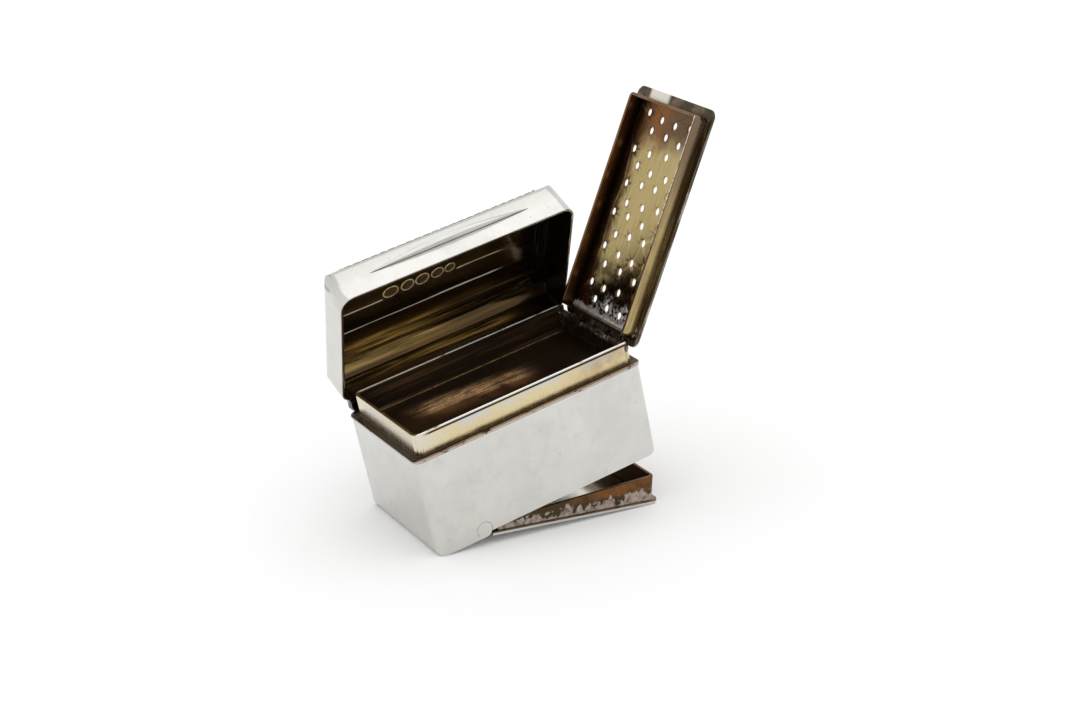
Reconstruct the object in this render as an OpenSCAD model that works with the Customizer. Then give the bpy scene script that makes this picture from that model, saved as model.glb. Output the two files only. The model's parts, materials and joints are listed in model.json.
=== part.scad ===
// Silver vinaigrette: a small box with a hinged lid, a hinged pierced grille over a shallow gilt
// compartment, and a hinged base cover under a second compartment. All sizes are in millimetres.
// Box frame: x runs along the box, y to the back, z up, with zero at the top of the ledge.
// Each piece is drawn in its closed place and then turned to the pose of the photograph.

/* [Box] */
// Length of the box over its walls
box_l = 36; // [34:0.5:40]
// Width of the box over its walls
box_w = 20.5; // [19:0.5:24]
// Height of the walls from the base plates to the top of the ledge
box_h = 14.5; // [12:0.1:18]
// Thickness of the silver sheet in the walls
wall_t = 0.4; // [0.35:0.05:0.5]
// Radius of the upright corners
corner_r = 1.2; // [1:0.1:2]
// Radius of the lower edge at each end
end_r = 1.4; // [1.2:0.1:1.8]
// Thickness of the fixed base plate and of the base cover
base_t = 0.6; // [0.5:0.05:0.8]

/* [Ledge and gilt compartment] */
// How far the ledge stands out past the walls
ledge_over = 0.15; // [0.1:0.05:0.45]
// Thickness of the ledge
ledge_t = 0.3; // [0.25:0.05:0.6]
// Height of the bezel above the ledge
bezel_h = 3.3; // [3:0.1:4]
// Thickness of the bezel
bezel_t = 0.4; // [0.3:0.05:0.5]
// Distance from the wall's outside to the bezel, at the front, the back and the free end
bezel_inset = 1; // [0.9:0.05:1.3]
// Distance from the wall's outside to the bezel at the grille's hinge
bezel_hinge_inset = 0.7; // [0.6:0.05:0.9]
// Radius of the bezel's upright corners
bezel_corner_r = 1; // [0.8:0.1:1.2]
// Depth of the compartment's floor below the ledge
floor_depth = 0.8; // [0.6:0.1:3]
// Thickness of the compartment's floor
floor_t = 0.4; // [0.3:0.05:0.6]

/* [Lid] */
// How far the lid stands out past the walls
lid_over = 0.45; // [0.4:0.05:0.6]
// Height of the lid
lid_h = 6.4; // [5.6:0.1:8]
// Thickness of the lid
lid_t = 0.5; // [0.4:0.05:0.55]
// Radius of the lid's upright corners
lid_corner_r = 2; // [1.6:0.1:2.4]
// Radius of the lid's upper edge at the front
lid_front_r = 1.5; // [1:0.1:2]
// Radius of the lid's upper edge at the back
lid_back_r = 4; // [3:0.1:4.5]
// Radius of the lid's upper edge at each end
lid_end_r = 2.3; // [1.6:0.1:2.6]
// Rise of the lid's top across its width
lid_crown = 0.4; // [0.2:0.05:0.8]
// Angle that the lid stands open
lid_open = 63.2; // [63:0.1:100]

/* [Thumbpiece] */
// Length of the thumbpiece along the lid's front
thumb_l = 25; // [20:0.5:28]
// How far its lip stands out
thumb_out = 0.8; // [0.6:0.05:1.2]
// Height of its lip above the lid's rim
thumb_z = 2.7; // [2:0.05:2.9]
// Height of its upper slope above the lip
thumb_rise = 1.4; // [1:0.05:1.5]
// Depth of its underside below the lip
thumb_drop = 0.1; // [0.05:0.05:0.4]

/* [Grille] */
// Thickness of the pierced plate
grille_t = 0.4; // [0.3:0.05:0.5]
// Depth of the grille's walls below its plate
grille_wall_h = 2; // [1.5:0.05:2.4]
// Thickness of the grille's walls
grille_wall_t = 0.45; // [0.35:0.05:0.6]
// Gap between the grille's walls and the inside of the bezel, along the front and the back
grille_side_gap = 0.55; // [0.5:0.05:1]
// Gap between the grille's wall and the bezel at the free end
grille_free_gap = 0.15; // [0.1:0.05:0.4]
// Distance from the grille's hinge to its nearest wall
grille_hinge_gap = 1.4; // [1.2:0.05:1.8]
// How far the plate's lip passes the bezel at the free end
grille_lip = 0.75; // [0.3:0.05:0.8]
// How far the plate's long edges pass the outside of the bezel
grille_over = 0.2; // [0.1:0.05:0.4]
// How far the plate's edge reaches over its hinge
grille_hinge_lap = 0.4; // [0.2:0.05:0.45]
// Radius of the plate's corners
grille_corner_r = 1.3; // [0.8:0.1:1.6]
// Diameter of a hole
hole_d = 1.1; // [0.8:0.05:1.3]
// Distance between rows of holes
hole_row_pitch = 2.5; // [2.2:0.05:3]
// Distance between holes in a row
hole_pitch = 3.7; // [3:0.05:4.5]
// Greatest distance of a hand-drilled hole from its place
hole_wander = 0.4; // [0:0.05:0.45]
// Angle that the grille stands open
grille_open = 123.6; // [123:0.1:140]

/* [Base cover] */
// Distance of the base hinge from the middle of the box, towards the fixed end
base_hinge_x = 10.5; // [8:0.5:12]
// Gap between the cover's walls and the inside of the box's walls, along the sides
cover_gap = 0.15; // [0.1:0.05:0.3]
// Gap between the cover's walls and the box at the far end, and between them and the hinge
cover_end_gap = 0.3; // [0.25:0.05:0.5]
// Thickness of the cover's walls
cover_wall_t = 0.5; // [0.4:0.05:0.6]
// Height of the cover's walls at the far end
cover_wall_far_h = 3.6; // [3:0.1:4.5]
// Height of the cover's walls at the hinge
cover_wall_near_h = 1.2; // [0.8:0.1:2]
// Angle that the cover stands open
cover_open = 15; // [5:0.5:20]

/* [Hinges] */
// Number of knuckles in a hinge
knuckle_n = 5; // [3:2:7]
// Gap between neighbouring knuckles
knuckle_gap = 0.12; // [0.08:0.02:0.2]
// Running clearance between a pin and its knuckles, on the radius
pin_play = 0.04; // [0.03:0.01:0.06]
// Outside radius of the lid hinge's knuckles
lid_knuckle_r = 0.7; // [0.6:0.05:0.75]
// Distance of the lid hinge's axis behind the lid's back
lid_hinge_back = 1.15; // [1:0.05:1.3]
// Height of the lid hinge's axis above the ledge
lid_hinge_z = 0.8; // [0.75:0.05:0.9]
// Length of the lid's hinge
lid_hinge_l = 34; // [20:1:34]
// Radius of the lid hinge's pin
lid_pin_r = 0.32; // [0.25:0.01:0.4]
// Outside radius of the grille hinge's knuckles
grille_knuckle_r = 0.55; // [0.5:0.05:0.6]
// Distance of the grille hinge's axis inside the bezel's end
grille_hinge_in = 0.45; // [0.4:0.05:0.5]
// Depth of the grille hinge's axis below the bezel's top
grille_hinge_drop = 1.05; // [0.95:0.05:1.2]
// Radius of the grille hinge's pin
grille_pin_r = 0.26; // [0.2:0.01:0.3]
// Outside radius of the base hinge's knuckles
base_knuckle_r = 1.15; // [1:0.05:1.25]
// Radius of the base hinge's pin
base_pin_r = 0.5; // [0.4:0.02:0.55]
// Gap between the base hinge's knuckles and the plates beside them
base_plate_gap = 0.12; // [0.1:0.02:0.2]

/* [Hidden] */
$fn = 96;

// Seat between two closed faces, the overshoot of a cut, and the length cut off each sharp tip
// of the thumbpiece
seat_gap = 0.05;
cut = 1;
thumb_tip = 0.3;

// Box
wall_top_z = -ledge_t;
wall_foot_z = -box_h;
base_z = -box_h - base_t;
inner_l = box_l - 2 * wall_t;
inner_w = box_w - 2 * wall_t;
end_arc_x = -box_l / 2 + end_r;
end_arc_z = base_z + end_r;

// Bezel, which reaches further out at the grille's hinge
bezel_w = box_w - 2 * bezel_inset;
bezel_left_x = -box_l / 2 + bezel_inset;
bezel_right_x = box_l / 2 - bezel_hinge_inset;
bezel_l = bezel_right_x - bezel_left_x;
bezel_mid_x = (bezel_right_x + bezel_left_x) / 2;
bezel_foot_z = -floor_depth - floor_t;

// Lid and its hinge
lid_l = box_l + 2 * lid_over;
lid_w = box_w + 2 * lid_over;
lid_hinge_y = lid_w / 2 + lid_hinge_back;
crown_r = (pow(lid_w / 2, 2) + pow(lid_crown, 2)) / (2 * lid_crown);
thumb_r = (pow(thumb_l / 2 + thumb_tip, 2) + pow(thumb_out, 2)) / (2 * thumb_out);

// Grille and its hinge
grille_hinge_x = bezel_right_x - grille_hinge_in;
grille_hinge_z = bezel_h - grille_hinge_drop;
grille_seat_z = bezel_h + seat_gap;
grille_wall_w = bezel_w - 2 * bezel_t - 2 * grille_side_gap;
grille_wall_left_x = bezel_left_x + bezel_t + grille_free_gap;
grille_wall_right_x = grille_hinge_x - grille_hinge_gap;
grille_plate_left_x = bezel_left_x - grille_lip;
grille_plate_right_x = grille_hinge_x - grille_knuckle_r + grille_hinge_lap;
grille_plate_w = bezel_w + 2 * grille_over;
grille_row_l = bezel_w - 2 * bezel_corner_r - knuckle_gap;
end_wall_top_z = grille_hinge_z - grille_knuckle_r - knuckle_gap;
hole_field_l = grille_wall_right_x - grille_wall_left_x - 2 * grille_wall_t - 2 * hole_wander - hole_d;
hole_field_w = grille_wall_w - 2 * grille_wall_t - 2 * hole_wander - hole_d;
hole_rows = floor(hole_field_l / hole_row_pitch);

// Base cover and its hinge
base_axis_x = -base_hinge_x;
base_axis_z = base_z + base_knuckle_r;
plate_edge = base_knuckle_r + base_plate_gap;
cover_l = box_l / 2 - base_axis_x;
cover_wall_left_x = base_axis_x + plate_edge + cover_end_gap;
cover_wall_right_x = inner_l / 2 - cover_end_gap;
cover_wall_w = inner_w - 2 * cover_gap;
cover_wall_l = cover_wall_right_x - cover_wall_left_x;

// The box stands on its rounded left edge and on the tip of the open cover
tip_x = base_axis_x + cover_l * cos(cover_open) - base_knuckle_r * sin(cover_open);
tip_z = base_axis_z - cover_l * sin(cover_open) - base_knuckle_r * cos(cover_open);
stance = norm([tip_x - end_arc_x, tip_z - end_arc_z]);
tilt = atan2(end_arc_z - tip_z, tip_x - end_arc_x) - asin(end_r / stance);
table_z = end_arc_x * sin(tilt) + end_arc_z * cos(tilt) - end_r;

// Middle of the open box seen from above: from the lid's left end to the grille's lip, and from
// the ledge's front to the lid's back
lip_u = grille_hinge_x - grille_plate_left_x;
lip_w = grille_seat_z + grille_t - grille_hinge_z;
lip_x = grille_hinge_x - lip_u * cos(grille_open) + lip_w * sin(grille_open);
lip_z = grille_hinge_z + lip_u * sin(grille_open) + lip_w * cos(grille_open);
lid_tip_z = lid_hinge_z + (lid_hinge_y + lid_w / 2 - lid_corner_r) * sin(lid_open)
  + (lid_h - lid_end_r - lid_hinge_z) * cos(lid_open);
lid_back_y = lid_hinge_y - (lid_back_r + lid_hinge_back) * cos(lid_open)
  + (lid_h - lid_crown - lid_back_r - lid_hinge_z) * sin(lid_open) + lid_back_r;
middle_x = (lip_x * cos(tilt) - lip_z * sin(tilt) - lid_l / 2 * cos(tilt) - lid_tip_z * sin(tilt)) / 2;
middle_y = (lid_back_y - box_w / 2 - ledge_over) / 2;

silver = [0.86, 0.86, 0.83];
worn_silver = [0.7, 0.69, 0.66];
pale_gilt = [0.85, 0.75, 0.5];
dark_gilt = [0.6, 0.48, 0.25];

// Stands the box on the table with its origin under the middle
module stand()
  translate([-middle_x, -middle_y, -table_z]) rotate([0, -tilt, 0]) children();

// Turns a closed piece about the hinge it swings on
module turn_lid()
  stand()
    translate([0, lid_hinge_y, lid_hinge_z]) rotate([-lid_open, 0, 0])
      translate([0, -lid_hinge_y, -lid_hinge_z]) children();

module turn_grille()
  stand()
    translate([grille_hinge_x, 0, grille_hinge_z]) rotate([0, grille_open, 0])
      translate([-grille_hinge_x, 0, -grille_hinge_z]) children();

module turn_cover()
  stand()
    translate([base_axis_x, 0, base_axis_z]) rotate([0, cover_open, 0])
      translate([-base_axis_x, 0, -base_axis_z]) children();

// Rectangle with round corners, centred
module round_rect(l, w, r) {
  square([l - 2 * r, w], center = true);
  square([l, w - 2 * r], center = true);
  for (x = [-1, 1], y = [-1, 1])
    translate([x * (l / 2 - r), y * (w / 2 - r)]) circle(r);
}

// Waste outside a round corner, for a corner at the origin that points to +x and +y
module corner_waste(r)
  difference() {
    translate([-r, -r]) square(r + cut);
    translate([-r, -r]) circle(r);
  }

// Extrudes a drawing in y and z along the box
module along_x(l)
  rotate([90, 0, 90]) linear_extrude(l, center = true) children();

// Extrudes a drawing in x and z across the box
module along_y(w)
  rotate([90, 0, 0]) linear_extrude(w, center = true) children();

// Upright tube wall between two outlines
module ring(l, w, r, t, h)
  linear_extrude(h)
    difference() {
      round_rect(l, w, r);
      round_rect(l - 2 * t, w - 2 * t, r - t);
    }

// Every second place of a row of knuckles along x, from the first place or the second
module every_second(row_l, first) {
  step = row_l / knuckle_n;
  for (i = [first : 2 : knuckle_n - 1])
    translate([(i + 0.5) * step - row_l / 2, 0, 0]) children();
}

// A knuckle along x with the strap that carries it, from one corner of its section to the other
module knuckle(row_l, r, pin_r, from, to) {
  l = row_l / knuckle_n - knuckle_gap;
  difference() {
    union() {
      rotate([0, 90, 0]) cylinder(r = r, h = l, center = true);
      translate([-l / 2, from[0], from[1]]) cube([l, to[0] - from[0], to[1] - from[1]]);
    }
    rotate([0, 90, 0]) cylinder(r = pin_r + pin_play, h = l + 2 * cut, center = true);
  }
}

// Puts a hinge drawn along x at each hinge's place; across the box, its y then points to +x
module at_lid_hinge() translate([0, lid_hinge_y, lid_hinge_z]) children();
module at_grille_hinge() translate([grille_hinge_x, 0, grille_hinge_z]) rotate([0, 0, -90]) children();
module at_base_hinge() translate([base_axis_x, 0, base_axis_z]) rotate([0, 0, -90]) children();

module pin(r, l) rotate([0, 90, 0]) cylinder(r = r, h = l, center = true);

// Four walls, with a round seat for the base hinge and a nail nick at the far end
module body_walls()
  color(silver) stand()
    difference() {
      translate([0, 0, base_z]) ring(box_l, box_w, corner_r, wall_t, wall_top_z - base_z);
      translate([0, 0, base_z - cut])
        linear_extrude(base_t + cut) square([box_l + cut, box_w + cut], center = true);
      along_y(box_w + cut) translate([box_l / 2, wall_foot_z]) mirror([0, 1]) corner_waste(end_r);
      along_y(box_w + cut) translate([-box_l / 2, base_z]) mirror([1, 0]) mirror([0, 1]) corner_waste(end_r);
      at_base_hinge() pin(base_knuckle_r + seat_gap, box_w + cut);
    }

// Outline of the box cut to the stretch between two places along it
module base_outline(from_x, to_x)
  intersection() {
    round_rect(box_l, box_w, corner_r);
    translate([from_x, -box_w / 2]) square([to_x - from_x, box_w]);
  }

module fixed_base_plate()
  color(silver) stand()
    difference() {
      translate([0, 0, base_z]) linear_extrude(base_t) base_outline(-box_l / 2, base_axis_x - plate_edge);
      along_y(box_w + cut) translate([-box_l / 2, base_z]) mirror([1, 0]) mirror([0, 1]) corner_waste(end_r);
    }

module ledge()
  color(worn_silver) stand()
    translate([0, 0, -ledge_t]) linear_extrude(ledge_t)
      difference() {
        round_rect(box_l + 2 * ledge_over, box_w + 2 * ledge_over, corner_r + ledge_over);
        translate([bezel_mid_x, 0]) round_rect(bezel_l, bezel_w, bezel_corner_r);
      }

// Standing gilt rim, lowered at the hinge end to seat the knuckles
module bezel() {
  seat_w = grille_row_l + 2 * knuckle_gap;
  color(pale_gilt) stand()
    difference() {
      translate([bezel_mid_x, 0, bezel_foot_z])
        ring(bezel_l, bezel_w, bezel_corner_r, bezel_t, bezel_h - bezel_foot_z);
      translate([grille_hinge_x - grille_knuckle_r - knuckle_gap, -seat_w / 2, end_wall_top_z])
        cube([bezel_l, seat_w, bezel_h]);
      at_grille_hinge() pin(grille_pin_r + pin_play, bezel_w + cut);
    }
}

module compartment_floor()
  color(dark_gilt) stand()
    translate([bezel_mid_x, 0, bezel_foot_z]) linear_extrude(floor_t)
      round_rect(bezel_l - 2 * bezel_t, bezel_w - 2 * bezel_t, bezel_corner_r - bezel_t);

// Knuckles on upright webs, with a foot that joins each web to the ledge
module lid_hinge_case_knuckles() {
  foot_l = lid_hinge_l / knuckle_n - knuckle_gap;
  foot_w = lid_hinge_y - box_w / 2 - ledge_over;
  color(silver) stand() at_lid_hinge() every_second(lid_hinge_l, 0) {
    knuckle(lid_hinge_l, lid_knuckle_r, lid_pin_r,
      [-lid_knuckle_r, -ledge_t - lid_hinge_z], [lid_knuckle_r, -lid_pin_r - pin_play]);
    translate([-foot_l / 2, -foot_w, -ledge_t - lid_hinge_z]) cube([foot_l, foot_w, ledge_t]);
  }
}

module lid_hinge_pin()
  color(worn_silver) stand() at_lid_hinge() pin(lid_pin_r, lid_hinge_l);

module grille_hinge_bezel_knuckles()
  color(dark_gilt) stand() at_grille_hinge() every_second(grille_row_l, 0)
    knuckle(grille_row_l, grille_knuckle_r, grille_pin_r,
      [grille_hinge_in - bezel_t, end_wall_top_z - grille_hinge_z],
      [grille_hinge_in, -grille_pin_r - pin_play]);

module grille_hinge_pin()
  color(worn_silver) stand() at_grille_hinge() pin(grille_pin_r, bezel_w - bezel_corner_r / 3);

module base_hinge_case_knuckles()
  color(silver) stand() at_base_hinge() every_second(box_w + knuckle_gap, 0)
    knuckle(box_w + knuckle_gap, base_knuckle_r, base_pin_r,
      [-plate_edge, -base_knuckle_r], [0, base_t - base_knuckle_r]);

module base_hinge_pin()
  color(worn_silver) stand() at_base_hinge() pin(base_pin_r, box_w);

// Side view of the lid, in y and z
module lid_side(inset) {
  w = lid_w - 2 * inset;
  h = lid_h - inset;
  intersection() {
    difference() {
      translate([-w / 2, 0]) square([w, h]);
      translate([-w / 2, h - lid_crown]) mirror([1, 0]) corner_waste(lid_front_r - inset);
      translate([w / 2, h - lid_crown]) corner_waste(lid_back_r - inset);
    }
    translate([0, h - crown_r]) circle(crown_r, $fn = 360);
  }
}

// End view of the lid, in x and z
module lid_end(inset) {
  l = lid_l - 2 * inset;
  difference() {
    translate([-l / 2, 0]) square([l, lid_h - inset]);
    for (side = [0, 1])
      mirror([side, 0]) translate([l / 2, lid_h - lid_crown / 2 - inset]) corner_waste(lid_end_r - inset);
  }
}

// Solid lid, drawn in by an inset from its outside
module lid_form(inset)
  intersection() {
    linear_extrude(lid_h) round_rect(lid_l - 2 * inset, lid_w - 2 * inset, lid_corner_r - inset);
    along_x(lid_l) lid_side(inset);
    along_y(lid_w) lid_end(inset);
  }

module lid_shell()
  color(silver) turn_lid()
    translate([0, 0, seat_gap])
      difference() {
        lid_form(0);
        lid_form(lid_t);
      }

// Long lens-shaped lip: two shallow cones that meet at its edge, cut off at the lid's front
module thumbpiece() {
  past_lid = 1 + cut / thumb_out;
  color(silver) turn_lid()
    intersection() {
      translate([0, thumb_r - thumb_out - lid_w / 2, seat_gap + thumb_z])
        rotate_extrude($fn = 720)
          translate([thumb_r, 0])
            polygon([[0, 0], past_lid * [-thumb_out, thumb_rise], past_lid * [-thumb_out, -thumb_drop]]);
      translate([-thumb_l / 2, -lid_w / 2 - thumb_out - cut, 0])
        cube([thumb_l, thumb_out + cut, lid_h]);
    }
}

module lid_hinge_lid_knuckles()
  color(silver) turn_lid() at_lid_hinge() every_second(lid_hinge_l, 1)
    knuckle(lid_hinge_l, lid_knuckle_r, lid_pin_r,
      [-lid_hinge_back, -lid_knuckle_r / 2], [0, lid_knuckle_r / 2]);

// Middle of the field of holes and a hand-drilled hole's distance from its place
hole_mid_x = (grille_wall_left_x + grille_wall_right_x) / 2;
function wander(i, j) = hole_wander * [sin(137 * i + 71 * j), cos(101 * i + 53 * j)];

// Staggered rows of holes over the field inside the grille's walls
module hole_field() {
  for (i = [0 : hole_rows]) {
    stagger = i % 2;
    in_row = floor(hole_field_w / hole_pitch) - stagger;
    row_x = hole_mid_x + (i - hole_rows / 2) * hole_row_pitch;
    for (j = [0 : in_row])
      translate([row_x, (j - in_row / 2) * hole_pitch] + wander(i, j)) circle(d = hole_d, $fn = 32);
  }
}

module grille_plate()
  color(dark_gilt) turn_grille()
    translate([0, 0, grille_seat_z]) linear_extrude(grille_t)
      difference() {
        translate([(grille_plate_left_x + grille_plate_right_x) / 2, 0])
          round_rect(grille_plate_right_x - grille_plate_left_x, grille_plate_w, grille_corner_r);
        hole_field();
      }

module grille_walls()
  color(dark_gilt) turn_grille()
    translate([hole_mid_x, 0, grille_seat_z - grille_wall_h])
      ring(grille_wall_right_x - grille_wall_left_x, grille_wall_w, grille_wall_t + hole_d / 4, grille_wall_t,
        grille_wall_h);

module grille_hinge_plate_knuckles()
  color(dark_gilt) turn_grille() at_grille_hinge() every_second(grille_row_l, 1)
    knuckle(grille_row_l, grille_knuckle_r, grille_pin_r,
      [-grille_knuckle_r, grille_pin_r + pin_play], [0, grille_seat_z - grille_hinge_z]);

module cover_plate()
  color(silver) turn_cover()
    translate([0, 0, base_z]) linear_extrude(base_t - seat_gap)
      base_outline(base_axis_x + plate_edge, box_l / 2);

// Walls that rise from the hinge to the far end and slip inside the box
module cover_walls()
  color(dark_gilt) turn_cover()
    translate([(cover_wall_left_x + cover_wall_right_x) / 2, 0, wall_foot_z - seat_gap])
      intersection() {
        ring(cover_wall_l, cover_wall_w, corner_r - wall_t, cover_wall_t, cover_wall_far_h);
        along_y(cover_wall_w)
          polygon([[-cover_wall_l / 2, 0], [cover_wall_l / 2, 0], [cover_wall_l / 2, cover_wall_far_h],
            [-cover_wall_l / 2, cover_wall_near_h]]);
      }

module base_hinge_cover_knuckles()
  color(silver) turn_cover() at_base_hinge() every_second(box_w + knuckle_gap, 1)
    knuckle(box_w + knuckle_gap, base_knuckle_r, base_pin_r,
      [0, -base_knuckle_r], [plate_edge, base_t - seat_gap - base_knuckle_r]);

body_walls();
fixed_base_plate();
ledge();
bezel();
compartment_floor();
lid_hinge_case_knuckles();
lid_hinge_pin();
grille_hinge_bezel_knuckles();
grille_hinge_pin();
base_hinge_case_knuckles();
base_hinge_pin();
lid_shell();
thumbpiece();
lid_hinge_lid_knuckles();
grille_plate();
grille_walls();
grille_hinge_plate_knuckles();
cover_plate();
cover_walls();
base_hinge_cover_knuckles();
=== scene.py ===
"""Looks of a small silver vinaigrette that stands open: polished silver outside, worn gilding inside."""

import json
import math

import bpy
from mathutils import Matrix, Vector, noise


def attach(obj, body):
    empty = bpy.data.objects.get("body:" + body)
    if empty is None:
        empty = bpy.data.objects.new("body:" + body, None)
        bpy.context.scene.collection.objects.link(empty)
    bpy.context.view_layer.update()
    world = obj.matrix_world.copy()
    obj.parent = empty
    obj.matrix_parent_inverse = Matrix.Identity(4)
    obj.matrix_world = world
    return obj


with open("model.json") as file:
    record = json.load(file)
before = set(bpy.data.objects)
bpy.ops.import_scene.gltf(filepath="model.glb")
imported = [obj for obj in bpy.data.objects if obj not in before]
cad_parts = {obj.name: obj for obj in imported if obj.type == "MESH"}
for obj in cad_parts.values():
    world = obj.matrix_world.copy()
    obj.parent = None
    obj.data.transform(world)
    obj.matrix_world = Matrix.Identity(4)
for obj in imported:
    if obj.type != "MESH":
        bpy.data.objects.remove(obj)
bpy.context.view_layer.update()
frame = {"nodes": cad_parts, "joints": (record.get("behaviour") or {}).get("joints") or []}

MM = 0.001
UP = Vector((0, 0, 1))

# Angles at which the three leaves stand open, and places on the closed box, in millimetres
LID_OPEN = math.radians(63.2)
GRILLE_OPEN = math.radians(123.6)
COVER_OPEN = math.radians(15)
LID_HINGE = (0, 11.85, 0.8)
GRILLE_HINGE = (16.85, 0, 2.25)
COVER_HINGE = (-10.5, 0, -13.95)
BOX_WIDTH = 20.5
BEZEL = {"left": -17.0, "right": 17.3, "width": 18.5, "corner": 1.0, "thick": 0.4, "floor": -0.8}
GRILLE_WALL = {"right": 15.45, "width": 16.6, "thick": 0.45, "plate": 3.35}
COVER_WALL = {"left": -8.93, "right": 17.3, "width": 19.4, "corner": 0.8, "foot": -14.55}
COVER_WALL_HEIGHT = {"near": 1.2, "far": 3.6}


class Place:
    """A leaf's own axes, along, across and up from its closed place, as they lie in the open pose."""

    def __init__(self, hinge, hinge_point, along, across, up):
        self.along = along
        self.across = across
        self.up = up
        self.origin = Vector(hinge["pos_m"]) - self.step(hinge_point)

    def step(self, move):
        """A move given in millimetres along the leaf's own axes."""
        return MM * (move[0] * self.along + move[1] * self.across + move[2] * self.up)

    def at(self, x, y, z):
        """A point given in millimetres in the closed box's frame."""
        return self.origin + self.step((x, y, z))

    def axes(self):
        """The inputs of the shader effect that finds a place on this leaf."""
        return {"Origin": self.origin, "Along": self.along, "Across": self.across, "Up": self.up}


def turned(first, second, angle):
    """The two axes after a turn by the angle from the first to the second."""
    return (
        math.cos(angle) * first + math.sin(angle) * second,
        math.cos(angle) * second - math.sin(angle) * first,
    )


hinges = {joint["name"]: joint for joint in frame["joints"]}
box_along = -Vector(hinges["lid_hinge"]["axis"])
box_across = Vector((0, 1, 0))
box_up = box_along.cross(box_across)
lid_up, lid_across = turned(box_up, box_across, LID_OPEN)
grille_up, grille_along = turned(box_up, box_along, GRILLE_OPEN)
cover_up, cover_along = turned(box_up, box_along, COVER_OPEN)

box = Place(hinges["lid_hinge"], LID_HINGE, box_along, box_across, box_up)
lid = Place(hinges["lid_hinge"], LID_HINGE, box_along, lid_across, lid_up)
grille = Place(hinges["grille_hinge"], GRILLE_HINGE, grille_along, box_across, grille_up)
cover = Place(hinges["base_cover_hinge"], COVER_HINGE, cover_along, box_across, cover_up)

SILVER = (0.67, 0.665, 0.635, 1)
SILVER_WARM = (0.665, 0.64, 0.60, 1)
SILVER_DULL = (0.59, 0.585, 0.555, 1)
# Lighter silver for painted highlights: on the thumbpiece, the lid's lobes and the bezel's rim
SILVER_HIGHLIGHT = (0.88, 0.875, 0.85, 1)
SILVER_WORN = (0.50, 0.49, 0.46, 1)
SILVER_DARK = (0.09, 0.088, 0.08, 1)
# Grey of pits in the silver, also used in the painted shade under the thumbpiece
PIT_AND_SHADE_GREY = (0.20, 0.19, 0.18, 1)
TARNISH = (0.020, 0.012, 0.006, 1)
OLIVE = (0.062, 0.052, 0.032, 1)
LEDGE_OLIVE = (0.042, 0.035, 0.021, 1)
LEDGE_PINK = (0.47, 0.41, 0.375, 1)
BROWN = (0.075, 0.042, 0.018, 1)
UMBER = (0.20, 0.135, 0.085, 1)
UMBER_DARK = (0.085, 0.048, 0.022, 1)
FREE_END_BROWN = (0.12, 0.074, 0.038, 1)
FLOOR_BROWN = (0.055, 0.032, 0.017, 1)
WALL_RED = (0.15, 0.068, 0.024, 1)
RUST_BROWN = (0.21, 0.085, 0.026, 1)
# Painted light: the bright copper of the pool of light on the compartment's floor
COPPER_LIGHT_POOL = (0.95, 0.62, 0.31, 1)
GILT_PALE = (0.70, 0.58, 0.33, 1)
GILT_SOFT = (0.45, 0.355, 0.16, 1)
GILT_BROWN = (0.34, 0.215, 0.085, 1)
GILT_DARK = (0.13, 0.075, 0.020, 1)
LID_DEEP = (0.055, 0.033, 0.014, 1)
STREAK_GOLD = (0.44, 0.275, 0.065, 1)
# Colours of two painted reflection lines on the lid's ceiling
REFLECTION_LINE_GOLD = (0.95, 0.80, 0.50, 1)
REFLECTION_LINE_PALE = (0.95, 0.91, 0.80, 1)
CREAM = (0.70, 0.665, 0.575, 1)
RESIDUE = (0.56, 0.54, 0.52, 1)
SOLDER = (0.44, 0.36, 0.31, 1)
FLOOR_WHITE = (0.95, 0.95, 0.95, 1)

# Depth of the relief, in millimetres: a height map's change from 0 to 1 raises the surface this far
POLISH_DEPTH = 0.004
BEZEL_RUB_DEPTH = 0.005
GRILLE_RUB_DEPTH = 0.006
STAIN_DEPTH = 0.03
DUST_DEPTH = 0.06
CRUST_DEPTH = 0.08


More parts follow.
